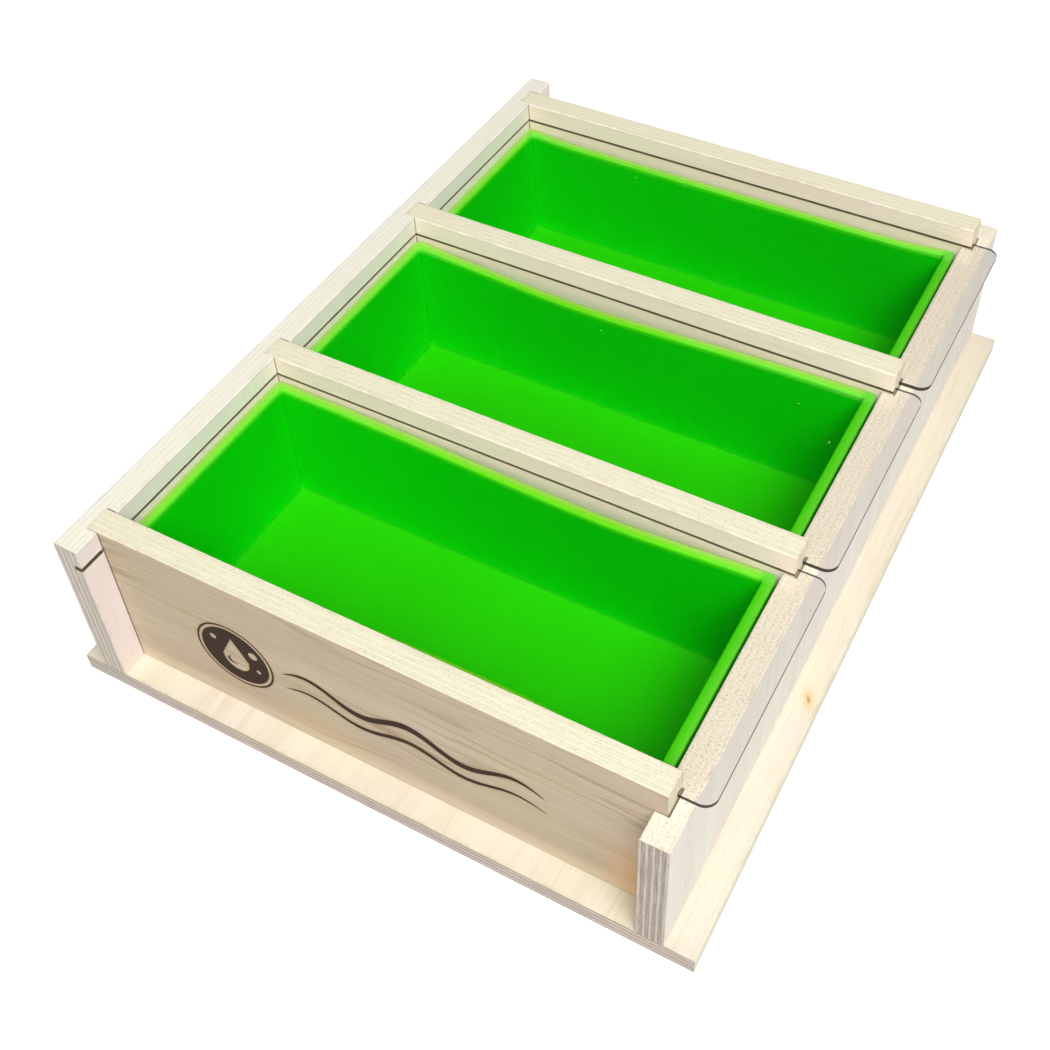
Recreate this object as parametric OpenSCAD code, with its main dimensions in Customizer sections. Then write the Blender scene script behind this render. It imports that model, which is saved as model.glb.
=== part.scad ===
// Three-bay soap loaf mould: a plywood case, three silicone liners and three clear sliding lids.
// Millimetres, +Z up. The origin is the centre of the base board's underside.
// +X runs along the bays to the end where the lids pull out, +Y from the marked front to the back.

/* [Case] */
// Thickness of the side, front, back and divider panels
ply = 12; // [11:0.5:18]
// Thickness of the base board
base_t = 9; // [6:0.5:18]
// Height of the tall panels above the base board
wall_h = 84; // [80:1:120]
// Base board showing past the left side
base_margin_left = 11; // [8:0.5:30]
// Base board showing past the right side
base_margin_right = 13; // [8:0.5:30]
// How far the side panels run past the front and back panels
side_overrun = 12.5; // [5:0.5:25]
// Depth of the housings that hold the panel ends in the sides
housing_d = 5; // [3:0.1:6]
// Rounding along the panels' long edges
edge_r = 0.6; // [0.2:0.1:1.5]

/* [Bays] */
// Inside length of a bay
bay_l = 252; // [180:1:320]
// Inside width of a bay
bay_w = 106.5; // [80:0.5:130]

/* [Liners] */
// Wall thickness of a silicone liner
liner_wall = 5; // [3:0.5:8]
// Floor thickness of a silicone liner
liner_floor = 5; // [3:0.5:8]
// How far a liner's rim sits below its lid groove
rim_drop = 2; // [1:0.5:10]
// Gap left between a liner and the right side
end_gap = 1.6; // [0.6:0.1:4]

/* [Lids] */
// Height of the lid grooves' floor above the base board
groove_z = 71.5; // [55:0.5:75]
// Height of a lid groove
groove_h = 2.6; // [2.4:0.1:4]
// Depth of a lid groove
groove_d = 4; // [2:0.5:5]
// Thickness of a lid
lid_t = 2; // [1.5:0.1:2.1]
// How far a lid sticks out past the right side, as a finger pull
lid_pull = 6.5; // [3:0.5:8]
// Radius of the lids' two corners at the pull end
lid_corner_r = 5.5; // [2:0.5:12]

/* [Hidden] */
$fn = 48;
eps = 0.1;

// Looks
ply_colour = [0.90, 0.84, 0.73];
silicone_colour = [0.16, 0.78, 0.05];
acrylic_colour = [0.90, 0.96, 0.94, 0.35];
steel_colour = [0.70, 0.70, 0.72];

// Clearances: panel ends in their housings, liners in their bays, lids in their grooves
housing_side_gap = 0.25;
left_housing_end_gap = 0.3;
right_housing_end_gap = 1;
liner_gap = 0.4;
lid_edge_gap = 0.4;
lid_under_gap = 0.15;

// Case layout
panels = 4;
pitch = bay_w + ply;
base_w = base_margin_left + base_margin_right + 2 * ply + bay_l;
case_d = (panels - 1) * pitch + ply + 2 * side_overrun;
left_in_x = -base_w / 2 + base_margin_left + ply;
right_in_x = left_in_x + bay_l;
front_y = -case_d / 2;
front_panel_y = front_y + side_overrun;
groove_floor_z = base_t + groove_z;
panel_l = bay_l + 2 * housing_d;

// Liner outline and corner radii
liner_l = bay_l - liner_gap - end_gap;
liner_w = bay_w - 2 * liner_gap;
liner_h = groove_z - rim_drop;
liner_outer_r = 3;
liner_inner_r = 2.5;

// Lid outline
lid_grip = groove_d - lid_edge_gap;
lid_l = lid_grip + bay_l + ply + lid_pull;
lid_w = bay_w + 2 * lid_grip;

// Brads: slim wire nails through the sides into the panel ends
brad_r = 0.6;
brad_head_r = 0.95;
brad_head_t = 0.7;
brad_l = 30;
brad_sink = 0.15;
brad_fit = 0.02;
brad_zs = [for (share = [0.20, 0.65]) base_t + share * groove_z];

// Countersunk screws up through the base board into the panels' lower edges
screw_r = 1.75;
screw_head_r = 3.5;
screw_head_t = 2.2;
screw_rim_t = 0.3;
screw_l = 30;
screw_point = 4;
screw_tip_r = 0.3;
screw_sink = 0.3;
screw_fit = 0.05;
screw_slot_w = 0.9;
screw_slot_l = 3.6;
screw_slot_d = 1.1;
side_screw_ys = [for (i = [0:panels - 2]) bay_y(i) + bay_w / 2];
panel_screw_xs = [for (share = [0.10, 0.50, 0.90]) left_in_x + share * bay_l];

// Front face of cross panel i, counted from the front
function panel_y(i) = front_panel_y + i * pitch;
function panel_mid_y(i) = panel_y(i) + ply / 2;

// Front face of bay i
function bay_y(i) = panel_y(i) + ply;

// A rectangle whose corners are rounded by r, with its lower left corner at the origin
module rounded_rect(w, h, r) {
    translate([r, 0]) square([w - 2 * r, h]);
    translate([0, r]) square([w, h - 2 * r]);
    for (x = [r, w - r])
        for (y = [r, h - r])
            translate([x, y]) circle(r);
}

// A board of length l along +Y, with its four long edges eased
module board_along_y(w, l, h) {
    translate([0, l, 0])
        rotate([90, 0, 0])
            linear_extrude(l)
                rounded_rect(w, h, edge_r);
}

// A board of length l along +X, with its four long edges eased
module board_along_x(l, w, h) {
    rotate([90, 0, 90])
        linear_extrude(l)
            rounded_rect(w, h, edge_r);
}

// The space that a brad takes, driven along +X from the outer face at x = 0
module brad_shape(grow) {
    translate([brad_sink, 0, 0])
        rotate([0, 90, 0])
            union() {
                cylinder(h = brad_head_t, r = brad_head_r + grow);
                cylinder(h = brad_l + grow, r = brad_r + grow);
            }
}

// The brads of one joint: side is -1 for the left side and +1 for the right, i is the cross panel
module at_brads(side, i) {
    outer_x = side < 0 ? left_in_x - ply : right_in_x + ply;
    for (z = brad_zs)
        translate([outer_x, panel_mid_y(i), z])
            mirror([side < 0 ? 0 : 1, 0, 0])
                children();
}

// The hole that a brad makes, open at the outer face
module brad_hole() {
    brad_shape(brad_fit);
    translate([-eps, 0, 0])
        rotate([0, 90, 0])
            cylinder(h = brad_sink + 2 * eps, r = brad_head_r + brad_fit);
}

module brads(side, i) {
    color(steel_colour) at_brads(side, i) brad_shape(0);
}

// One countersunk screw pointing up, its head's face at z = 0
module screw() {
    difference() {
        rotate_extrude()
            polygon([
                [0, 0],
                [screw_head_r, 0],
                [screw_head_r, screw_rim_t],
                [screw_r, screw_head_t],
                [screw_r, screw_l - screw_point],
                [screw_tip_r, screw_l],
                [0, screw_l]
            ]);
        for (turn = [0, 90])
            rotate([0, 0, turn])
                translate([-screw_slot_l / 2, -screw_slot_w / 2, -eps])
                    cube([screw_slot_l, screw_slot_w, screw_slot_d + eps]);
    }
}

// The countersunk hole for one screw, from the underside at z = 0 up through the base and panel
module screw_hole() {
    rotate_extrude()
        polygon([
            [0, -eps],
            [screw_head_r + screw_fit, -eps],
            [screw_head_r + screw_fit, screw_sink + screw_rim_t],
            [screw_r + screw_fit, screw_sink + screw_head_t],
            [screw_r + screw_fit, screw_sink + screw_l + eps],
            [0, screw_sink + screw_l + eps]
        ]);
}

// Screw places under the two sides (side is -1 or +1) and under cross panel i
module at_side_screws(side) {
    mid_x = side < 0 ? left_in_x - ply / 2 : right_in_x + ply / 2;
    for (y = side_screw_ys)
        translate([mid_x, y, 0])
            children();
}

module at_panel_screws(i) {
    for (x = panel_screw_xs)
        translate([x, panel_mid_y(i), 0])
            children();
}

module side_screws(side) {
    color(steel_colour)
        at_side_screws(side)
            translate([0, 0, screw_sink])
                screw();
}

module panel_screws(i) {
    color(steel_colour)
        at_panel_screws(i)
            translate([0, 0, screw_sink])
                screw();
}

// The board under everything: flush with the sides' ends, proud of their outer faces
module base_board() {
    color(ply_colour)
        difference() {
            translate([-base_w / 2, front_y, 0])
                board_along_y(base_w, case_d, base_t);
            for (side = [-1, 1])
                at_side_screws(side) screw_hole();
            for (i = [0:panels - 1])
                at_panel_screws(i) screw_hole();
        }
}

// The housings in a side for the four panel ends, cut inwards from its inner face
module housings(side) {
    cut_d = housing_d + (side < 0 ? left_housing_end_gap : right_housing_end_gap);
    x = side < 0 ? left_in_x - cut_d : right_in_x - eps;
    for (i = [0:panels - 1])
        translate([x, panel_y(i) - housing_side_gap, base_t - eps])
            cube([cut_d + eps, ply + 2 * housing_side_gap, wall_h + 2 * eps]);
}

// The tall side: the closed lids' inner ends sit in a groove along its whole inner face
module left_side() {
    color(ply_colour)
        difference() {
            translate([left_in_x - ply, front_y, base_t])
                board_along_y(ply, case_d, wall_h);
            housings(-1);
            translate([left_in_x - groove_d, front_y - eps, groove_floor_z])
                cube([groove_d + eps, case_d + 2 * eps, groove_h]);
            for (i = [0:panels - 1])
                at_brads(-1, i) brad_hole();
            at_side_screws(-1) screw_hole();
        }
}

// The low side: level with the groove floors, so that the lids slide out over it
module right_side() {
    color(ply_colour)
        difference() {
            translate([right_in_x, front_y, base_t])
                board_along_y(ply, case_d, groove_z);
            housings(1);
            for (i = [0:panels - 1])
                at_brads(1, i) brad_hole();
            at_side_screws(1) screw_hole();
        }
}

// Cross panel i, with a lid groove on each face that looks into a bay
module cross_panel(i) {
    color(ply_colour)
        difference() {
            translate([left_in_x - housing_d, panel_y(i), base_t])
                board_along_x(panel_l, ply, wall_h);
            if (i > 0) lid_groove(panel_y(i) - eps);
            if (i < panels - 1) lid_groove(panel_y(i) + ply - groove_d);
            for (side = [-1, 1])
                at_brads(side, i) brad_hole();
            at_panel_screws(i) screw_hole();
        }
}

// One lid groove along a cross panel, starting at y
module lid_groove(y) {
    translate([left_in_x - housing_d - eps, y, groove_floor_z])
        cube([panel_l + 2 * eps, groove_d + eps, groove_h]);
}

// The soft tray of bay i, open at the top
module liner(i) {
    color(silicone_colour)
        translate([left_in_x + liner_gap, bay_y(i) + liner_gap, base_t])
            difference() {
                linear_extrude(liner_h)
                    rounded_rect(liner_l, liner_w, liner_outer_r);
                translate([liner_wall, liner_wall, liner_floor])
                    linear_extrude(liner_h)
                        rounded_rect(liner_l - 2 * liner_wall, liner_w - 2 * liner_wall, liner_inner_r);
            }
}

// The clear lid of bay i: square at the end in the tall side, rounded at the pull end
module lid(i) {
    color(acrylic_colour)
        translate([left_in_x - lid_grip, bay_y(i) - lid_grip, groove_floor_z + lid_under_gap])
            linear_extrude(lid_t) {
                square([lid_l - lid_corner_r, lid_w]);
                translate([0, lid_corner_r]) square([lid_l, lid_w - 2 * lid_corner_r]);
                for (y = [lid_corner_r, lid_w - lid_corner_r])
                    translate([lid_l - lid_corner_r, y]) circle(lid_corner_r);
            }
}

base_board();
left_side();
right_side();
cross_panel(0);  // front_panel
cross_panel(1);  // divider_front
cross_panel(2);  // divider_rear
cross_panel(3);  // back_panel
liner(0);  // liner_front
liner(1);  // liner_middle
liner(2);  // liner_rear
lid(0);  // lid_front
lid(1);  // lid_middle
lid(2);  // lid_rear
brads(-1, 0);  // brads_left_front
brads(-1, 1);  // brads_left_divider_front
brads(-1, 2);  // brads_left_divider_rear
brads(-1, 3);  // brads_left_back
brads(1, 0);  // brads_right_front
brads(1, 1);  // brads_right_divider_front
brads(1, 2);  // brads_right_divider_rear
brads(1, 3);  // brads_right_back
side_screws(-1);  // base_screws_left
side_screws(1);  // base_screws_right
panel_screws(0);  // base_screws_front
panel_screws(1);  // base_screws_divider_front
panel_screws(2);  // base_screws_divider_rear
panel_screws(3);  // base_screws_back
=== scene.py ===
import math

import bmesh
import bpy
from mathutils import Matrix, Vector


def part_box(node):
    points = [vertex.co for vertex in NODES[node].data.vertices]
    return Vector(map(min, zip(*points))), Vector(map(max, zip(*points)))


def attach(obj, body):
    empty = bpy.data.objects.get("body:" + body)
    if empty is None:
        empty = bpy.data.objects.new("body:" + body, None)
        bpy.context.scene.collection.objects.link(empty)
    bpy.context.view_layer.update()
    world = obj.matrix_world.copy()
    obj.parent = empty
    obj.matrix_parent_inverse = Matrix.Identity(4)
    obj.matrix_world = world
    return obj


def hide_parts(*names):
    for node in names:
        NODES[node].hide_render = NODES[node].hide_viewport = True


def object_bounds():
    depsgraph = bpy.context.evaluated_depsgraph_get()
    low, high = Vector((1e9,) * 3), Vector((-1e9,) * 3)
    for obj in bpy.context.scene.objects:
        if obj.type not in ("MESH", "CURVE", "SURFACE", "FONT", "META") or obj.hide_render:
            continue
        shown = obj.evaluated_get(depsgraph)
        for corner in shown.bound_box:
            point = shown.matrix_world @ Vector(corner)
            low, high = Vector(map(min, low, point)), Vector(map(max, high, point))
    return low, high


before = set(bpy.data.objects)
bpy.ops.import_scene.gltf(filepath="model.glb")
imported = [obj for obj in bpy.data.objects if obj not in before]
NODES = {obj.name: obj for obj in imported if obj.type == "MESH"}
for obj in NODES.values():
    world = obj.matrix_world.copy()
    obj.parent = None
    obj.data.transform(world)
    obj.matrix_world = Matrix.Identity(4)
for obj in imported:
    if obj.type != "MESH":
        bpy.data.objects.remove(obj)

# Soap loaf mould: a plywood case, three silicone liners and three clear sliding lids.
# The case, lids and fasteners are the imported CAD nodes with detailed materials. The liners are
# soft pieces of their own that stand for the plain CAD trays.

CAD_LOW, CAD_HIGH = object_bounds()
MM = 0.001

CROSS_PANELS = ("front_panel", "divider_front", "divider_rear", "back_panel")
LIDS = ("lid_front", "lid_middle", "lid_rear")
FASTENERS = ("brads_", "base_screws_")  # how their nodes' names start

WHITE = (1.0, 1.0, 1.0, 1.0)


# ---------------------------------------------------------------------------------------------
# Node graph helpers
# ---------------------------------------------------------------------------------------------

class Graph:
    """Builds a node tree: each method adds one node and returns its output."""

    def __init__(self, tree):
        self.tree = tree
        self.tree.nodes.clear()

    def put(self, socket, value):
        if isinstance(value, bpy.types.NodeSocket):
            self.tree.links.new(value, socket)
        elif value is not None:
            socket.default_value = value

    def math(self, operation, a, b=None, clamp=False):
        node = self.tree.nodes.new("ShaderNodeMath")
        node.operation = operation
        node.use_clamp = clamp
        self.put(node.inputs[0], a)
        self.put(node.inputs[1], b)
        return node.outputs[0]

    def add(self, *values):
        total = values[0]
        for value in values[1:]:
            total = self.math("ADD", total, value)
        return total

    def sub(self, a, b):
        return self.math("SUBTRACT", a, b)

    def mul(self, *values):
        total = values[0]
        for value in values[1:]:
            total = self.math("MULTIPLY", total, value)
        return total

    def least(self, a, b):
        return self.math("MINIMUM", a, b)

    def most(self, a, b):
        return self.math("MAXIMUM", a, b)

    def size(self, value):
        return self.math("ABSOLUTE", value)

    def vector(self, operation, a, b=None, scale=None):
        node = self.tree.nodes.new("ShaderNodeVectorMath")
        node.operation = operation
        self.put(node.inputs[0], a)
        self.put(node.inputs[1], b)
        if scale is not None:
            self.put(node.inputs["Scale"], scale)
        return node.outputs["Value" if operation == "DOT_PRODUCT" else "Vector"]

    def split(self, vector):
        node = self.tree.nodes.new("ShaderNodeSeparateXYZ")
        self.put(node.inputs[0], vector)
        return node.outputs[0], node.outputs[1], node.outputs[2]

    def join(self, x, y, z):
        node = self.tree.nodes.new("ShaderNodeCombineXYZ")
        for socket, value in zip(node.inputs, (x, y, z)):
            self.put(socket, value)
        return node.outputs[0]

    def between(self, value, low, high, to_low=0.0, to_high=1.0):
        """value carried smoothly from low..high to to_low..to_high, and held there."""
        node = self.tree.nodes.new("ShaderNodeMapRange")
        node.interpolation_type = "SMOOTHSTEP"
        for socket, number in zip(node.inputs, (value, low, high, to_low, to_high)):
            self.put(socket, number)
        return node.outputs[0]

    def inside(self, value, low, high, soft):
        """1 where value lies from low to high, fading to 0 over soft past each end."""
        return self.mul(self.between(value, low - soft, low),
                        self.between(value, high, high + soft, 1.0, 0.0))

    def noise(self, vector, scale=1.0, detail=2.0, roughness=0.5):
        """Noise from 0 to 1, with features about 1/scale apart."""
        node = self.tree.nodes.new("ShaderNodeTexNoise")
        self.put(node.inputs["Vector"], vector)
        self.put(node.inputs["Scale"], scale)
        self.put(node.inputs["Detail"], detail)
        self.put(node.inputs["Roughness"], roughness)
        return node.outputs[0]

    def cells(self, vector, scale):
        """Distance to the nearest of scattered points, and that point's random number."""
        node = self.tree.nodes.new("ShaderNodeTexVoronoi")
        self.put(node.inputs["Vector"], vector)
        self.put(node.inputs["Scale"], scale)
        return node.outputs["Distance"], self.split(node.outputs["Color"])[0]

    def blend(self, factor, a, b):
        """Number a where factor is 0 and b where it is 1."""
        node = self.tree.nodes.new("ShaderNodeMix")
        node.data_type = "FLOAT"
        for socket, value in zip((node.inputs[0], node.inputs[2], node.inputs[3]), (factor, a, b)):
            self.put(socket, value)
        return node.outputs[0]

    def mix(self, factor, a, b):
        """Colour a where factor is 0 and b where it is 1."""
        node = self.tree.nodes.new("ShaderNodeMix")
        node.data_type = "RGBA"
        for socket, value in zip((node.inputs[0], node.inputs[6], node.inputs[7]), (factor, a, b)):
            self.put(socket, value)
        return node.outputs[2]

    def tint(self, colour, filter_colour):
        """colour seen through a filter of another colour."""
        node = self.tree.nodes.new("ShaderNodeMix")
        node.data_type = "RGBA"
        node.blend_type = "MULTIPLY"
        node.inputs[0].default_value = 1.0
        self.put(node.inputs[6], colour)
        self.put(node.inputs[7], filter_colour)
        return node.outputs[2]

    def shade(self, colour, factor):
        """colour times a grey factor."""
        return self.tint(colour, self.join(factor, factor, factor))

    def mix_shaders(self, factor, a, b):
        node = self.tree.nodes.new("ShaderNodeMixShader")
        for socket, value in zip(node.inputs, (factor, a, b)):
            self.put(socket, value)
        return node.outputs[0]

    def light_path(self, kind):
        return self.tree.nodes.new("ShaderNodeLightPath").outputs[kind]


class Look(Graph):
    """A material under construction, with the surface's place in millimetres and its normal."""

    def __init__(self, name):
        self.material = bpy.data.materials.new(name)
        self.material.use_nodes = True
        super().__init__(self.material.node_tree)
        coords = self.tree.nodes.new("ShaderNodeTexCoord")
        self.place = self.vector("SCALE", coords.outputs["Object"], scale=1 / MM)
        self.x, self.y, self.z = self.split(self.place)
        self.nx, self.ny, self.nz = self.split(coords.outputs["Normal"])

    def attribute(self, name):
        node = self.tree.nodes.new("ShaderNodeAttribute")
        node.attribute_name = name
        return node.outputs["Fac"]

    def bump(self, height, strength, distance):
        node = self.tree.nodes.new("ShaderNodeBump")
        node.inputs["Strength"].default_value = strength
        node.inputs["Distance"].default_value = distance
        self.put(node.inputs["Height"], height)
        return node.outputs[0]

    def principled(self, **settings):
        node = self.tree.nodes.new("ShaderNodeBsdfPrincipled")
        for name, value in settings.items():
            self.put(node.inputs[name.replace("_", " ")], value)
        return node.outputs[0]

    def show(self, shader):
        output = self.tree.nodes.new("ShaderNodeOutputMaterial")
        self.tree.links.new(shader, output.inputs["Surface"])
        return self.material


def rgb(red, green, blue):
    """A display colour from 0 to 255 as linear RGBA."""
    def linear(value):
        value /= 255
        return value / 12.92 if value <= 0.04045 else ((value + 0.055) / 1.055) ** 2.4
    return (linear(red), linear(green), linear(blue), 1.0)


def wear(node, material):
    """Puts one material on a CAD node, in place of any other."""
    mesh = NODES[node].data
    mesh.materials.clear()
    mesh.materials.append(material)


# ---------------------------------------------------------------------------------------------
# Plywood
# ---------------------------------------------------------------------------------------------

AXES = {"X": 0, "Y": 1, "Z": 2}
THIN_PLY = 0.4  # share of a pair of plies taken by the one whose grain runs with the faces'
PLY_SHIFT = 23.0  # how far apart in the noise the figures of two plies are taken
BOARD_SHIFT = (37.0, 61.0, 17.0)  # how far apart the figures of two boards are taken
STRAND_ALONG, STRAND_ACROSS = 0.07, 2.0  # how fast an edge's streaks change, with and across them
GROOVE_H = 2.6  # height of the lid grooves in millimetres

# Wood colours in pairs, pale and dark: face veneers, sanded edges and sawn ends, the last darker as
# painted shade
PALE_VENEER = rgb(245, 241, 236), rgb(230, 222, 213)
# Painted light: the left side's veneer is paler than the others, standing in for more light on its
# inner face above the rims
LIT_LEFT_VENEER = rgb(255, 244, 242), rgb(249, 236, 232)
WARM_VENEER = rgb(201, 186, 165), rgb(167, 148, 121)
CREAM_VENEER = rgb(255, 237, 228), rgb(244, 218, 202)
BASE_VENEER = rgb(223, 216, 201), rgb(204, 193, 171)
SANDED_EDGE = rgb(240, 238, 223), rgb(221, 217, 199)
CREAM_EDGE = rgb(238, 234, 209), rgb(206, 198, 170)
WARM_EDGE = rgb(244, 236, 218), rgb(228, 215, 194)
# Painted shade: ends that face front and back take these darker colours, which stand in for the less
# light they get
SHADED_SAWN_END = rgb(212, 203, 192), rgb(143, 130, 119)
PALE_SHADED_SAWN_END = rgb(222, 214, 204), rgb(170, 159, 149)
PINK_CLOUD = (1.0, 0.975, 0.98, 1.0)
GREEN_CLOUD = (0.985, 1.0, 0.955, 1.0)
PORE = rgb(150, 128, 98)
GLUE_LINE = rgb(140, 120, 92)
HAND_GRIME = rgb(168, 152, 124)
WARM_PATCH = rgb(224, 180, 128)
# Painted light thrown up from the base board onto the foot of the front face
FOOT_LIGHT = rgb(232, 215, 190)
# Painted shade inside the lid grooves
GROOVE_SHADE = rgb(110, 98, 74)
KNOT_DARK = rgb(168, 118, 62)
KNOT_RING = rgb(226, 184, 130)
SCORCH = rgb(34, 18, 6)
SCORCH_GRAIN = rgb(56, 34, 16)
SCORCH_HALO = rgb(168, 130, 90)


class Plywood(Look):
    """Solid plywood: plies stacked along one axis, with the grain turned a quarter in every other
    ply, so that faces, edges and grooves each show what a cut there would show. The ends that
    face along the given axis are left rough and are painted darker as painted shade. figure
    is how strongly the faces' grain shows, and specked how far the edges' open pores outweigh
    their streaks."""

    def __init__(self, node, through, grain, plies, seed, veneer, edge_wood=SANDED_EDGE,
                 shaded_end_axis=None, shaded_end_wood=SHADED_SAWN_END, figure=0.30, specked=0.10):
        super().__init__("plywood_" + node)
        self.low, self.high = (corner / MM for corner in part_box(node))
        self.through, self.along = AXES[through], AXES[grain]
        self.across = 3 - self.through - self.along
        self.places = (self.x, self.y, self.z)
        self.facing = [self.size(part) for part in (self.nx, self.ny, self.nz)]
        self.on_face = self.between(self.facing[self.through], 0.6, 0.9)
        self.offset = self.vector("ADD", self.place, tuple(shift * seed for shift in BOARD_SHIFT))
        self.stack_plies(plies)
        self.grow_grain()
        face, face_relief = self.face_veneer(veneer, figure)
        edge, edge_relief = self.cut_edge(edge_wood, shaded_end_axis, shaded_end_wood, specked)
        edge_on = self.between(self.facing[self.through], 0.4, 0.8, 1.0, 0.0)
        self.colour = self.mix(edge_on, face, edge)
        self.relief = self.blend(edge_on, face_relief, edge_relief)

    def centred(self, value):
        """A noise value moved to lie round 0."""
        return self.sub(value, 0.5)

    def clamped(self, value):
        """A number held from 0 to 1."""
        return self.math("ADD", value, 0.0, clamp=True)

    def stack_plies(self, plies):
        """Finds the ply that a point lies in. Plies come in pairs, a thin one and a thick crossed
        one, and the glue joints between them waver a little."""
        pairs = (plies + 1) / 2 * THIN_PLY + (plies - 1) / 2 * (1 - THIN_PLY)
        thick = self.high[self.through] - self.low[self.through]
        waver = self.mul(self.centred(self.noise(self.offset, 0.03, 1.0)), 0.2)
        depth = self.sub(self.places[self.through], self.low[self.through])
        depth = self.add(self.mul(depth, pairs / thick), waver)
        hair = 0.001
        depth = self.least(self.most(depth, hair), pairs - hair)
        within = self.math("FRACT", depth)
        self.crossed = self.math("GREATER_THAN", within, THIN_PLY)
        self.ply = self.add(self.mul(self.math("FLOOR", depth), 2.0), self.crossed)
        outer_joint = self.least(within, self.sub(1.0, within))
        self.joint = self.least(outer_joint, self.size(self.sub(within, THIN_PLY)))

    def grow_grain(self):
        """The figure of the grain, which runs along each ply's own fibres."""
        shifted = self.split(self.offset)
        length = self.blend(self.crossed, shifted[self.along], shifted[self.across])
        width = self.blend(self.crossed, shifted[self.across], shifted[self.along])
        level = self.add(shifted[self.through], self.mul(self.ply, PLY_SHIFT))

        def stretched(width, lengthwise, crosswise, detail, roughness=0.5):
            """Noise drawn out along the fibres."""
            place = self.join(self.mul(length, lengthwise), self.mul(width, crosswise), level)
            return self.noise(place, 1.0, detail, roughness)

        sway = stretched(width, 0.011, 0.03, 2.0)
        width = self.add(width, self.mul(self.centred(sway), 12.0))
        self.fine = stretched(width, 0.03, 1.3, 3.0, 0.6)
        self.broad = stretched(width, 0.006, 0.08, 2.0)
        patch = stretched(width, 0.012, 0.03, 1.0)
        rings = self.math("SINE", self.add(self.mul(width, 0.5), self.mul(self.broad, 30.0)))
        self.rings = self.mul(self.between(rings, 0.62, 1.0), self.between(patch, 0.38, 0.60))
        self.pores = self.between(stretched(width, 0.15, 2.4, 1.0), 0.67, 0.78)

    def face_veneer(self, veneer, figure):
        """The faces' colour and relief, with faint clouds that lean to pink or to green."""
        tone = self.add(self.mul(self.centred(self.fine), 1.1), self.mul(self.centred(self.broad), 0.9),
                        self.mul(self.rings, figure), 0.30)
        face = self.mix(self.clamped(tone), *veneer)
        face = self.mix(self.mul(self.pores, 0.30), face, PORE)
        cloud = self.between(self.noise(self.offset, 0.022, 2.0), 0.35, 0.65)
        face = self.tint(face, self.mix(cloud, PINK_CLOUD, GREEN_CLOUD))
        return face, self.add(self.mul(self.fine, 0.6), self.mul(self.pores, -0.6))

    def cut_edge(self, edge_wood, shaded_end_axis, shaded_end_wood, specked):
        """The edges' colour and relief: streaks run with the plies, and plies cut across their
        fibres are darker. Ends that face along the given axis are rougher and less specked, and
        darker still as painted shade."""
        end_cut = self.blend(self.crossed, self.facing[self.along], self.facing[self.across])
        end_cut = self.between(end_cut, 0.45, 0.85)
        # Painted shade: ends along this axis take the darker end colours, and they are also rougher
        rough_shaded_end = self.between(self.facing[AXES[shaded_end_axis]], 0.6, 0.9) if shaded_end_axis else 0.0
        squeeze = [STRAND_ALONG] * 3
        squeeze[self.through] = STRAND_ACROSS
        strands = self.noise(self.vector("MULTIPLY", self.offset, tuple(squeeze)), 1.0, 3.0, 0.65)
        grit = self.noise(self.offset, 1.1, 3.0, 0.75)
        with_the_fibres = max(0.35, 2 * specked)
        specks = self.mul(self.between(grit, 0.50, 0.66), self.blend(end_cut, with_the_fibres, 1.0))
        streaks = self.blend(rough_shaded_end, 1.3 - 1.6 * specked, 1.6)
        ragged = self.mul(self.centred(strands), streaks)
        sanded = self.add(0.16, self.mul(end_cut, 0.14), ragged, self.mul(specks, 0.55))
        shaded_end_tone = self.add(0.18, self.mul(end_cut, 0.48), ragged, self.mul(specks, 0.22))
        edge = self.mix(rough_shaded_end, self.mix(self.clamped(sanded), *edge_wood),
                        self.mix(self.clamped(shaded_end_tone), *shaded_end_wood))
        edge = self.mix(self.mul(specks, self.blend(rough_shaded_end, specked, 0.0)), edge, PORE)
        glue = self.between(self.joint, 0.02, 0.07, 1.0, 0.0)
        edge = self.mix(self.mul(glue, self.blend(rough_shaded_end, 0.10, 0.20)), edge, GLUE_LINE)
        return edge, self.add(self.mul(grit, self.blend(rough_shaded_end, 0.7, 2.2)), strands)

    def shade_groove(self, run):
        """Paints shade on the wood inside the lid groove, which runs along one axis: the darker colour
        stands in for the shadow under the groove's lip.
        """
        floor_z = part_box("right_side")[1].z / MM
        slack = 0.05
        place = self.places[self.through]
        buried = self.least(self.sub(place, self.low[self.through]),
                            self.sub(self.high[self.through], place))
        hidden = self.mul(self.between(buried, slack, 0.6),
                          self.inside(self.z, floor_z - slack, floor_z + GROOVE_H + slack, 0.02),
                          self.between(self.facing[AXES[run]], 0.3, 0.6, 1.0, 0.0))
        self.colour = self.tint(self.colour, self.mix(hidden, WHITE, GROOVE_SHADE))

    def shade_joint(self, axis, place):
        """Draws the dark line of dust and shadow where another board meets this one's faces."""
        away = self.size(self.sub(self.places[AXES[axis]], place))
        line = self.mul(self.between(away, 0.25, 0.75, 1.0, 0.0), self.on_face)
        self.colour = self.shade(self.colour, self.blend(line, 1.0, 0.42))

    def rub_edges(self):
        """Greys the arrises a little, where hands have been."""
        gaps = [self.least(self.sub(place, low), self.sub(high, place))
                for place, low, high in zip(self.places, self.low, self.high)]
        to_edge = self.most(self.least(gaps[0], gaps[1]),
                            self.least(self.most(gaps[0], gaps[1]), gaps[2]))
        rubbed = self.mul(self.between(to_edge, 0.4, 1.8, 1.0, 0.0),
                          self.between(self.noise(self.offset, 0.09, 3.0, 0.6), 0.44, 0.62))
        self.colour = self.mix(self.mul(rubbed, 0.22), self.colour, HAND_GRIME)

    def finish(self):
        """The material, with the wear of its edges over all that was painted on it."""
        self.rub_edges()
        return self.show(self.principled(
            Base_Color=self.colour, Roughness=self.add(0.56, self.mul(self.fine, 0.18)),
            Normal=self.bump(self.relief, 0.35, 0.12 * MM), Specular_IOR_Level=0.25))


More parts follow.
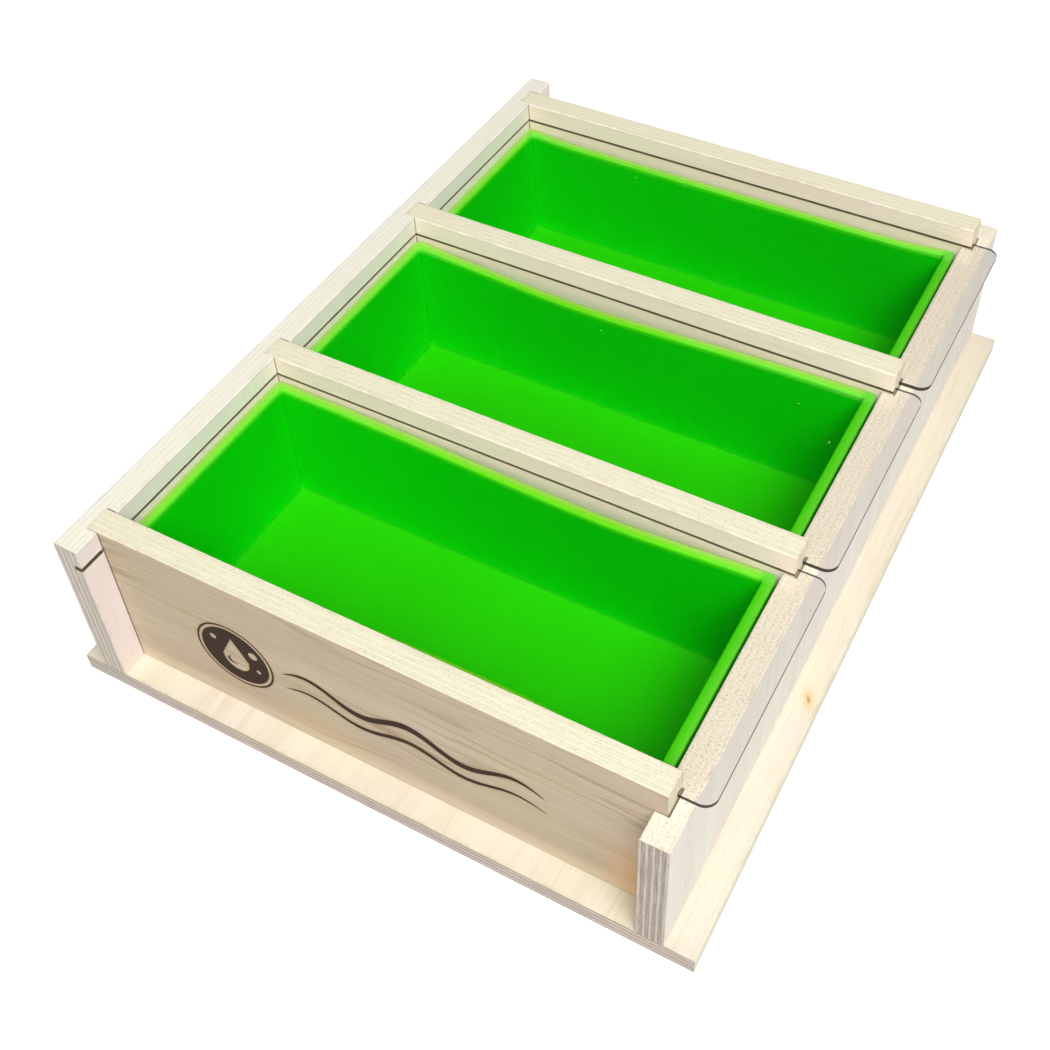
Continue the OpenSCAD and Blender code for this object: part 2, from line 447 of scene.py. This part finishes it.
def add_knot(wood, centre_x, centre_y, radius):
    """A small tight knot on the upper face, with a paler swirl round it. It is drawn out along
    the grain and leans a little."""
    lean, stretch = 0.45, 2.3
    dx, dy = wood.sub(wood.x, centre_x), wood.sub(wood.y, centre_y)
    across = wood.mul(wood.add(dx, wood.mul(dy, lean)), 1 / radius)
    along = wood.mul(wood.sub(dy, wood.mul(dx, lean)), 1 / (radius * stretch))
    reach = wood.math("SQRT", wood.add(wood.mul(across, across), wood.mul(along, along)))
    reach = wood.add(reach, wood.mul(wood.centred(wood.noise(wood.place, 0.35, 2.0)), 0.9))
    up = wood.between(wood.nz, 0.5, 0.9)
    ring = wood.mul(wood.between(reach, 0.5, 2.0, 1.0, 0.0), up)
    core = wood.mul(wood.between(reach, 0.1, 0.7, 1.0, 0.0), up)
    wood.colour = wood.mix(wood.mul(ring, 0.6), wood.colour, KNOT_RING)
    wood.colour = wood.mix(wood.mul(core, 0.8), wood.colour, KNOT_DARK)


def paint_margin_shade(wood):
    """Painted shade: the faces' veneer is darker where it stands out in front of the front panel,
    taking back there the painted light of a paler veneer.
    """
    face_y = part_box("front_panel")[0].y / MM
    margin = wood.mul(wood.between(wood.y, face_y, face_y + 1.0, 1.0, 0.0), wood.on_face)
    wood.colour = wood.shade(wood.colour, wood.blend(margin, 1.0, 0.86))


def add_foot_light(wood):
    """Painted light: the veneer is paler along the foot of its face, standing in for light thrown up
    from the base board.
    """
    foot = wood.between(wood.z, wood.low.z + 2.0, wood.low.z + 15.0, 0.42, 0.0)
    wood.colour = wood.mix(foot, wood.colour, FOOT_LIGHT)


def add_warm_patch(wood, centre_x, centre_z, reach_x, reach_z, strength):
    """A warm, orange patch on the front face, fading out round its centre."""
    dx = wood.mul(wood.sub(wood.x, centre_x), 1 / reach_x)
    dz = wood.mul(wood.sub(wood.z, centre_z), 1 / reach_z)
    away = wood.math("SQRT", wood.add(wood.mul(dx, dx), wood.mul(dz, dz)))
    away = wood.add(away, wood.mul(wood.centred(wood.noise(wood.place, 0.06, 3.0)), 0.7))
    wood.colour = wood.mix(wood.mul(wood.between(away, 0.1, 1.0, 1.0, 0.0), strength),
                           wood.colour, WARM_PATCH)


def add_emblem(wood, face_y, left, right, middle_z):
    """A generic mark burned into the front: a round medallion with a drop and bubbles, and two
    flowing lines beside it. It holds no letters."""
    disc_r, ring_gap, ring_half = 17.0, 1.9, 0.45
    disc_x = left + disc_r + 2.0
    dx, dz = wood.sub(wood.x, disc_x), wood.sub(wood.z, middle_z)

    def circle(cx, cz, r):
        """Distance outside a circle, negative inside."""
        ex, ez = wood.sub(dx, cx), wood.sub(dz, cz)
        return wood.sub(wood.math("SQRT", wood.add(wood.mul(ex, ex), wood.mul(ez, ez))), r)

    def without(a, b):
        """Shape a with shape b cut out of it."""
        return wood.most(a, wood.mul(b, -1.0))

    # The drop is a circle joined to a wedge that narrows to its tip
    drop_r, drop_z, drop_tip, drop_slope, wedge_foot = 6.4, -3.5, 11.5, 0.512, -2.0
    wedge = wood.sub(wood.size(dx), wood.mul(wood.sub(drop_tip, dz), drop_slope))
    wedge = wood.most(wedge, wood.sub(wedge_foot, dz))
    drop = wood.least(circle(0.0, drop_z, drop_r), wedge)
    glint_r = 2.4
    glint = without(circle(-2.2, -4.2, glint_r), circle(-1.1, -3.5, glint_r))
    mark = wood.least(without(circle(0.0, 0.0, disc_r), drop), glint)
    bubbles = (10.2, 5.8, 2.3), (-9.8, 7.6, 1.6), (11.2, -4.6, 1.2)
    for cx, cz, r in bubbles:
        mark = without(mark, circle(cx, cz, r))
    ring = wood.sub(wood.size(circle(0.0, 0.0, disc_r + ring_gap)), ring_half)
    mark = wood.least(mark, ring)

    # Two flowing lines that thin towards both ends
    start = disc_x + disc_r + 8.0
    turns = 2.5
    share = wood.mul(wood.sub(wood.x, start), 1 / (right - start))
    taper = wood.mul(share, wood.sub(1.0, share), 4.0)
    taper = wood.math("POWER", wood.most(taper, 0.0001), 0.6)
    past_end = wood.mul(wood.sub(wood.size(wood.sub(share, 0.5)), 0.5), right - start)
    sway = wood.math("SINE", wood.mul(share, turns * 2 * math.pi))
    for height, swing, weight in ((3.6, 4.2, 2.0), (-6.2, 3.0, 1.3)):
        line = wood.size(wood.sub(dz, wood.add(wood.mul(sway, swing), height)))
        line = wood.most(wood.sub(line, wood.mul(taper, weight)), past_end)
        mark = wood.least(mark, line)

    on_face = wood.mul(wood.between(wood.sub(wood.y, face_y), 0.2, 0.6, 1.0, 0.0),
                       wood.between(wood.mul(wood.ny, -1.0), 0.6, 0.9))
    ragged = wood.mul(wood.centred(wood.noise(wood.place, 1.2, 3.0, 0.6)), 0.5)
    mark = wood.add(mark, ragged)
    burnt = wood.mul(wood.between(mark, -0.15, 0.25, 1.0, 0.0), on_face)
    halo = wood.mul(wood.between(mark, 0.0, 1.5, 1.0, 0.0), on_face)
    wood.colour = wood.mix(wood.mul(halo, 0.35), wood.colour, SCORCH_HALO)
    wood.colour = wood.mix(burnt, wood.colour, wood.mix(wood.fine, SCORCH, SCORCH_GRAIN))
    wood.relief = wood.add(wood.relief, wood.mul(burnt, -1.2))


def paint_left_side():
    """The tall side, grooved for the lids, which stands out past the front panel."""
    # Its paler veneer is painted light, taken back at the front margin as painted shade
    wood = Plywood("left_side", through="X", grain="Z", plies=9, seed=1, veneer=LIT_LEFT_VENEER,
                   shaded_end_axis="Y", shaded_end_wood=PALE_SHADED_SAWN_END)
    wood.shade_groove("Y")
    paint_margin_shade(wood)
    wear("left_side", wood.finish())


def paint_right_side():
    """The low side that the lids slide over, with its pores more open."""
    wood = Plywood("right_side", through="X", grain="Z", plies=9, seed=2, veneer=PALE_VENEER,
                   edge_wood=WARM_EDGE, shaded_end_axis="Y", specked=0.45)
    wear("right_side", wood.finish())


def paint_cross_panels():
    """Four panels from one kind of board. The front one has a warmer veneer and its mark."""
    for seed, node in enumerate(CROSS_PANELS, start=5):
        front = node == "front_panel"
        wood = Plywood(node, through="Y", grain="X", plies=9, seed=seed,
                       veneer=WARM_VENEER if front else CREAM_VENEER, edge_wood=CREAM_EDGE,
                       figure=0.52 if front else 0.30, specked=0.0)
        wood.shade_groove("X")
        wood.shade_joint("X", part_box("left_side")[1].x / MM)
        if front:
            add_foot_light(wood)
            add_warm_patch(wood, centre_x=wood.high.x - 8.0, centre_z=24.0,
                      reach_x=26.0, reach_z=40.0, strength=0.55)
            add_warm_patch(wood, centre_x=-30.0, centre_z=22.0, reach_x=34.0, reach_z=14.0, strength=0.22)
            add_emblem(wood, face_y=wood.low.y, left=-86.0, right=80.0, middle_z=47.0)
        wear(node, wood.finish())


def paint_base_board():
    """The board underneath, with one knot on the right where it shows."""
    wood = Plywood("base_board", through="Z", grain="Y", plies=7, seed=12, veneer=BASE_VENEER, shaded_end_axis="Y")
    add_knot(wood, centre_x=wood.high.x - 5.3, centre_y=-68.0, radius=2.2)
    wear("base_board", wood.finish())


# ---------------------------------------------------------------------------------------------
# Silicone liners
# ---------------------------------------------------------------------------------------------

WALL_GREEN = rgb(0, 215, 0)
FLOOR_GREEN = rgb(37, 202, 0)
# Painted light and sheen on the rim: greens lighter and yellower than the walls, standing in for light
# through the thin rim and the room's sheen on its flat top
RIM_LIT_GREEN = rgb(78, 232, 22)
RIM_LIT_LIME = rgb(112, 222, 26)
RIM_SHEEN_OLIVE = rgb(150, 208, 74)


def silicone():
    """Satin green silicone. The rim has painted light and a painted sheen: it is paler and yellower,
    most of all along its outer edge and least at the pull end. The walls get painted shade towards
    that end and in the creases, and a fine mottle covers the whole."""
    low, high = (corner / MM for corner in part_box("liner_front"))
    look = Look("green_silicone")
    cloud = look.noise(look.place, 0.02, 3.0, 0.55)
    mottle = look.noise(look.place, 0.9, 3.0, 0.6)
    up = look.between(look.nz, 0.5, 0.95)
    low_down = look.between(look.z, low.z + 6.0, low.z + 12.0, 1.0, 0.0)
    # Painted shade: the walls darken towards the pull end, standing in for the right side's shadow
    wall = look.shade(WALL_GREEN, look.between(look.x, low.x + 60.0, high.x, 1.0, 0.89))
    colour = look.mix(look.mul(up, low_down), wall, FLOOR_GREEN)
    # Painted shade in the creases at the corners and along the foot of the walls
    sideways = look.size(look.nx), look.size(look.ny)
    upright_crease = look.least(*sideways)
    foot_crease = look.mul(look.least(look.nz, look.most(*sideways)), low_down)
    crease_shade = look.most(upright_crease, foot_crease)
    colour = look.shade(colour, look.between(crease_shade, 0.15, 0.60, 1.0, 0.80))
    # Painted light and sheen on the rim, weakest at the pull end
    at_pull_end = look.between(look.x, high.x - 8.0, high.x - 4.0, 1.0, 0.36)
    rim_sheen_share = look.mul(look.attribute("rim"), at_pull_end)
    across = look.attribute("across")
    rim_sheen = look.mix(look.between(across, 0.25, 0.75, 1.0, 0.0), RIM_LIT_LIME, RIM_SHEEN_OLIVE)
    rim_sheen = look.mix(look.between(across, 0.85, 1.0), rim_sheen, RIM_LIT_GREEN)
    colour = look.mix(rim_sheen_share, colour, rim_sheen)
    colour = look.shade(colour, look.add(0.93, look.mul(cloud, 0.10), look.mul(mottle, 0.04)))
    relief = look.add(look.mul(mottle, 0.5), look.mul(look.noise(look.place, 0.12, 2.0), 2.0))
    return look.show(look.principled(
        Base_Color=colour, Roughness=look.add(0.50, look.mul(cloud, 0.14)),
        Normal=look.bump(relief, 0.25, 0.15 * MM), Specular_IOR_Level=0.08))


def rounded_outline(length, width, inset, radius, straight, corner):
    """Points round a rounded rectangle centred on the origin, counter-clockwise, with straight
    steps along each long side, half as many along each end and corner steps round each corner."""
    half_l, half_w = length / 2 - inset, width / 2 - inset
    radius = min(radius, half_l, half_w)
    points = []
    corners = (
        (half_l - radius, half_w - radius, 0.0),
        (-half_l + radius, half_w - radius, 90.0),
        (-half_l + radius, -half_w + radius, 180.0),
        (half_l - radius, -half_w + radius, 270.0),
    )
    for index, (cx, cy, first) in enumerate(corners):
        for step in range(corner + 1):
            angle = math.radians(first + 90.0 * step / corner)
            points.append((cx + radius * math.cos(angle), cy + radius * math.sin(angle)))
        nx, ny, then = corners[(index + 1) % 4]
        leave = points[-1]
        angle = math.radians(then)
        arrive = (nx + radius * math.cos(angle), ny + radius * math.sin(angle))
        steps = straight if index % 2 == 0 else straight // 2
        for step in range(1, steps):
            share = step / steps
            points.append((leave[0] + (arrive[0] - leave[0]) * share,
                           leave[1] + (arrive[1] - leave[1]) * share))
    return points


def quarter(steps):
    """Sine and cosine along a quarter turn."""
    for step in range(steps + 1):
        angle = math.radians(90.0 * step / steps)
        yield math.sin(angle), math.cos(angle)


def tray_section(width, height, wall, floor):
    """A liner's section, from under its floor out, up, over the rim, down and in. Each station is
    (inset from the outer outline, height, corner radius, share of the rim's painted light and sheen)."""
    draft, fillet, rim_r, outer_r = 1.4 * MM, 2.2 * MM, 1.1 * MM, 3.0 * MM
    chamfer, below_rim, middle_r = 0.6 * MM, 3.0 * MM, 0.5 * MM
    rim_steps, fillet_steps = 4, 5
    up_the_wall = (0.15, 0.35, 0.55, 0.75, 0.9)
    section = [(chamfer, 0.0, outer_r, 0.0), (0.0, chamfer, outer_r, 0.0)]
    section += [(0.0, height * share, outer_r, 0.0) for share in up_the_wall]
    section.append((0.0, height - below_rim, outer_r, 0.0))
    for sine, cosine in quarter(rim_steps):
        section.append((rim_r * (1 - cosine), height - rim_r * (1 - sine), outer_r, 1.0))
    for sine, cosine in quarter(rim_steps):
        section.append((wall - rim_r * (1 - sine), height - rim_r * (1 - cosine), outer_r, 1.0))
    for drop, rim_share in ((2.0 * MM, 0.7), (3.6 * MM, 0.0)):
        section.append((wall, height - drop, outer_r, rim_share))
    side = height - floor - fillet
    for share in reversed(up_the_wall):
        section.append((wall + draft * (1 - share), floor + fillet + side * share, outer_r, 0.0))
    foot = wall + draft
    for sine, cosine in quarter(fillet_steps):
        section.append((foot + fillet * (1 - cosine), floor + fillet * (1 - sine), outer_r, 0.0))
    inner = width / 2 - foot - fillet
    for share in (0.25, 0.5, 0.75):
        section.append((foot + fillet + inner * share, floor, middle_r, 0.0))
    return section


def make_liner(bay, material, bow, peak, before, after, sunk):
    """A soft tray whose long walls lean in by bow at the rim, most at the share peak of its length,
    and over the widths before and after that. sunk is how far its rim has settled."""
    node = "liner_" + bay
    low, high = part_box(node)
    length, width, height = high - low
    height -= sunk
    centre = (low + high) / 2
    wall, floor = 5.0 * MM, 5.0 * MM
    long_steps, corner_steps = 60, 6
    corner_shrink, least_r = 0.3, 1.2 * MM
    stiff_end, end_fade, wall_reach, rise_power = 2 * MM, 14 * MM, 12 * MM, 1.6

    def bowed(x, y, z):
        """Moves a long wall's point inwards, but not the corners or the floor."""
        share = x / length + 0.5
        reach = math.exp(-((share - peak) / (before if share < peak else after)) ** 2)
        ends = max(0.0, length / 2 - abs(x) - stiff_end) / end_fade
        reach *= 1 - math.exp(-ends * ends)
        side = max(-1.0, min(1.0, y / (width / 2 - wall_reach)))
        return y - bow * reach * (z / height) ** rise_power * side * abs(side) ** 3

    mesh = bmesh.new()
    across = mesh.verts.layers.float.new("across")
    rim = mesh.verts.layers.float.new("rim")
    rings = []
    for inset, z, radius, rim_share in tray_section(width, height, wall, floor):
        ring = []
        radius = max(radius - inset * corner_shrink, least_r)
        for x, y in rounded_outline(length, width, inset, radius, long_steps, corner_steps):
            vert = mesh.verts.new((centre.x + x, centre.y + bowed(x, y, z), low.z + z))
            vert[across] = min(inset / wall, 1.0)
            vert[rim] = rim_share
            ring.append(vert)
        rings.append(ring)
    for lower, upper in zip(rings, rings[1:]):
        for here in range(len(lower)):
            there = (here + 1) % len(lower)
            mesh.faces.new((lower[here], lower[there], upper[there], upper[here]))
    mesh.faces.new(list(reversed(rings[0])))
    mesh.faces.new(rings[-1])
    for face in mesh.faces:
        face.smooth = True
    add_piece("soft_liner_" + bay, mesh, material, "case", node)


def add_piece(name, mesh, material, body, stands_for):
    """Turns a bmesh into a piece that rides on a body and stands for a CAD node."""
    data = bpy.data.meshes.new(name)
    bmesh.ops.recalc_face_normals(mesh, faces=mesh.faces)
    mesh.to_mesh(data)
    mesh.free()
    data.materials.append(material)
    piece = bpy.data.objects.new(name, data)
    bpy.context.scene.collection.objects.link(piece)
    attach(piece, body)
    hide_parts(stands_for)


# ---------------------------------------------------------------------------------------------
# Clear lids
# ---------------------------------------------------------------------------------------------

DUST = rgb(242, 242, 238)
EDGE_REFRACTION_DARK = rgb(64, 58, 52)
SHEET_TINT = (0.995, 0.978, 0.972, 1.0)
SHADOW_TINT = (0.96, 0.96, 0.95, 1.0)


def acrylic(node):
    """Clear cast sheet: polished faces, a few specks of dust and faint smears, and an edge painted dark
    grey, a painted refraction that stands in for the dark the clear edge shows.
    """
    look = Look("clear_acrylic_" + node)
    edge = look.between(look.size(look.nz), 0.3, 0.7, 1.0, 0.0)
    away, pick = look.cells(look.place, 0.05)
    specks = look.mul(look.between(away, 0.010, 0.024, 1.0, 0.0), look.between(pick, 0.55, 0.60))
    wiped = look.join(look.mul(look.x, 0.02), look.mul(look.y, 0.09), 0.0)
    smear = look.noise(wiped, 1.0, 3.0, 0.6)
    glass = look.principled(
        Base_Color=SHEET_TINT, Roughness=look.between(smear, 0.45, 0.75, 0.0, 0.05),
        IOR=1.40, Transmission_Weight=1.0)
    matt = look.principled(
        # The edge's dark grey is painted refraction; the specks are dust
        Base_Color=look.mix(edge, DUST, EDGE_REFRACTION_DARK), Roughness=0.6, Specular_IOR_Level=0.3)
    sheet = look.mix_shaders(look.most(look.mul(edge, 0.9), look.mul(specks, 0.7)), glass, matt)
    # Lamps and the light from the wood and silicone go straight through the sheet
    clear = look.tree.nodes.new("ShaderNodeBsdfTransparent").outputs[0]
    clear.node.inputs["Color"].default_value = SHADOW_TINT
    sheet = look.mix_shaders(look.light_path("Is Diffuse Ray"), sheet, clear)
    return look.show(look.mix_shaders(look.light_path("Is Shadow Ray"), sheet, clear))


# ---------------------------------------------------------------------------------------------
# Fasteners
# ---------------------------------------------------------------------------------------------

BRIGHT_ZINC = rgb(198, 200, 204)
DULL_ZINC = rgb(150, 152, 156)


def zinc():
    """Bright zinc with fine scratches and a faint mottle."""
    look = Look("bright_zinc")
    mottle = look.noise(look.place, 2.5, 3.0, 0.6)
    scratches = look.noise(look.vector("MULTIPLY", look.place, (6.0, 0.6, 6.0)), 1.0, 2.0, 0.6)
    return look.show(look.principled(
        Base_Color=look.mix(mottle, BRIGHT_ZINC, DULL_ZINC), Metallic=1.0,
        Roughness=look.add(0.24, look.mul(mottle, 0.22)),
        Normal=look.bump(scratches, 0.3, 0.03 * MM)))


# ---------------------------------------------------------------------------------------------
# Stage, light and camera
# ---------------------------------------------------------------------------------------------

FLOOR_DARK = (0.50, 0.49, 0.47, 1.0)
FLOOR_PALE = (0.53, 0.52, 0.50, 1.0)


def outwards(azimuth, elevation):
    """Unit vector from the mould: azimuth 0 is in front (-Y), 90 on the right (+X)."""
    a, e = math.radians(azimuth), math.radians(elevation)
    return Vector((math.sin(a) * math.cos(e), -math.cos(a) * math.cos(e), math.sin(e)))


def make_stage():
    """A pale studio floor that glows a little, so that shadows on it stay faint. It lies just under
    the mould and is clear from below, where the base board's underside shows."""
    reach, drop = 6.0, 0.2 * MM
    mesh = bmesh.new()
    corners = ((-reach, -reach), (reach, -reach), (reach, reach), (-reach, reach))
    mesh.faces.new([mesh.verts.new((x, y, CAD_LOW.z - drop)) for x, y in corners])
    data = bpy.data.meshes.new("floor")
    mesh.to_mesh(data)
    mesh.free()
    floor = bpy.data.objects.new("floor", data)
    bpy.context.scene.collection.objects.link(floor)
    look = Look("pale_floor")
    cloud = look.noise(look.place, 0.004, 2.0)
    pale = look.principled(
        Base_Color=look.mix(cloud, FLOOR_DARK, FLOOR_PALE), Roughness=0.9,
        Specular_IOR_Level=0.0, Emission_Color=WHITE,
        Emission_Strength=look.blend(look.light_path("Is Camera Ray"), 0.15, 0.60))
    from_below = look.tree.nodes.new("ShaderNodeNewGeometry").outputs["Backfacing"]
    clear = look.tree.nodes.new("ShaderNodeBsdfTransparent").outputs[0]
    data.materials.append(look.show(look.mix_shaders(from_below, pale, clear)))


def add_softbox(name, direction, distance, size, power, colour=WHITE[:3]):
    """A square area light aimed at the mould."""
    light = bpy.data.lights.new(name, "AREA")
    light.shape = "SQUARE"
    light.size = size
    light.energy = power
    light.color = colour
    lamp = bpy.data.objects.new(name, light)
    bpy.context.scene.collection.objects.link(lamp)
    lamp.location = direction * distance
    lamp.rotation_mode = "QUATERNION"
    lamp.rotation_quaternion = direction.to_track_quat("Z", "Y")
    lamp.visible_camera = False


def light_scene():
    """Plain soft studio light: a key high on the right, weak fills in front and behind, and a dim
    room with a dark flag behind the mould, where the lids would mirror it."""
    add_softbox("key", outwards(44, 56), distance=2.7, size=1.65, power=88.0, colour=(1.0, 0.99, 0.97))
    add_softbox("front_fill", outwards(0, 22), distance=2.5, size=1.2, power=8.0)
    add_softbox("back_fill", outwards(205, 8), distance=2.2, size=0.8, power=6.0)
    world = bpy.data.worlds.new("studio")
    bpy.context.scene.world = world
    world.use_nodes = True
    room = Graph(world.node_tree)
    coords = room.tree.nodes.new("ShaderNodeTexCoord")
    flag = tuple(outwards(209, 46))
    room_glow, flag_glow, backdrop_glow = 0.24, 0.02, 0.92
    towards_flag = room.vector("DOT_PRODUCT", coords.outputs["Generated"], flag)
    glow = room.between(towards_flag, 0.66, 0.90, room_glow, flag_glow)
    seen = room.blend(room.light_path("Is Camera Ray"), glow, backdrop_glow)
    background = room.tree.nodes.new("ShaderNodeBackground")
    room.put(background.inputs["Strength"], seen)
    output = room.tree.nodes.new("ShaderNodeOutputWorld")
    room.put(output.inputs["Surface"], background.outputs[0])


def add_camera():
    """The viewpoint: in front and to the right, looking down at the mould."""
    data = bpy.data.cameras.new("camera")
    data.sensor_width = 36.0
    data.lens = 47.95
    data.shift_x = -0.0462
    data.shift_y = -0.1096
    camera = bpy.data.objects.new("camera", data)
    bpy.context.scene.collection.objects.link(camera)
    heading, tilt, roll = (math.radians(angle) for angle in (29.13, 44.76, -1.23))
    turn = (Matrix.Rotation(heading, 4, "Z") @ Matrix.Rotation(math.pi / 2 - tilt, 4, "X")
            @ Matrix.Rotation(roll, 4, "Z"))
    viewpoint = (0.2240, -0.4134, 0.5256)
    camera.matrix_world = Matrix.Translation(viewpoint) @ turn
    bpy.context.scene.camera = camera


add_camera()
light_scene()
make_stage()
bpy.context.scene.view_settings.view_transform = "Standard"

paint_left_side()
paint_right_side()
paint_cross_panels()
paint_base_board()
green = silicone()
make_liner("front", green, bow=3.9 * MM, peak=0.69, before=0.37, after=0.205, sunk=0.0)
make_liner("middle", green, bow=6.3 * MM, peak=0.40, before=0.28, after=0.33, sunk=0.0)
make_liner("rear", green, bow=3.5 * MM, peak=0.50, before=0.90, after=0.90, sunk=1.5 * MM)
for node in LIDS:
    wear(node, acrylic(node))
steel = zinc()
for node in NODES:
    if node.startswith(FASTENERS):
        wear(node, steel)
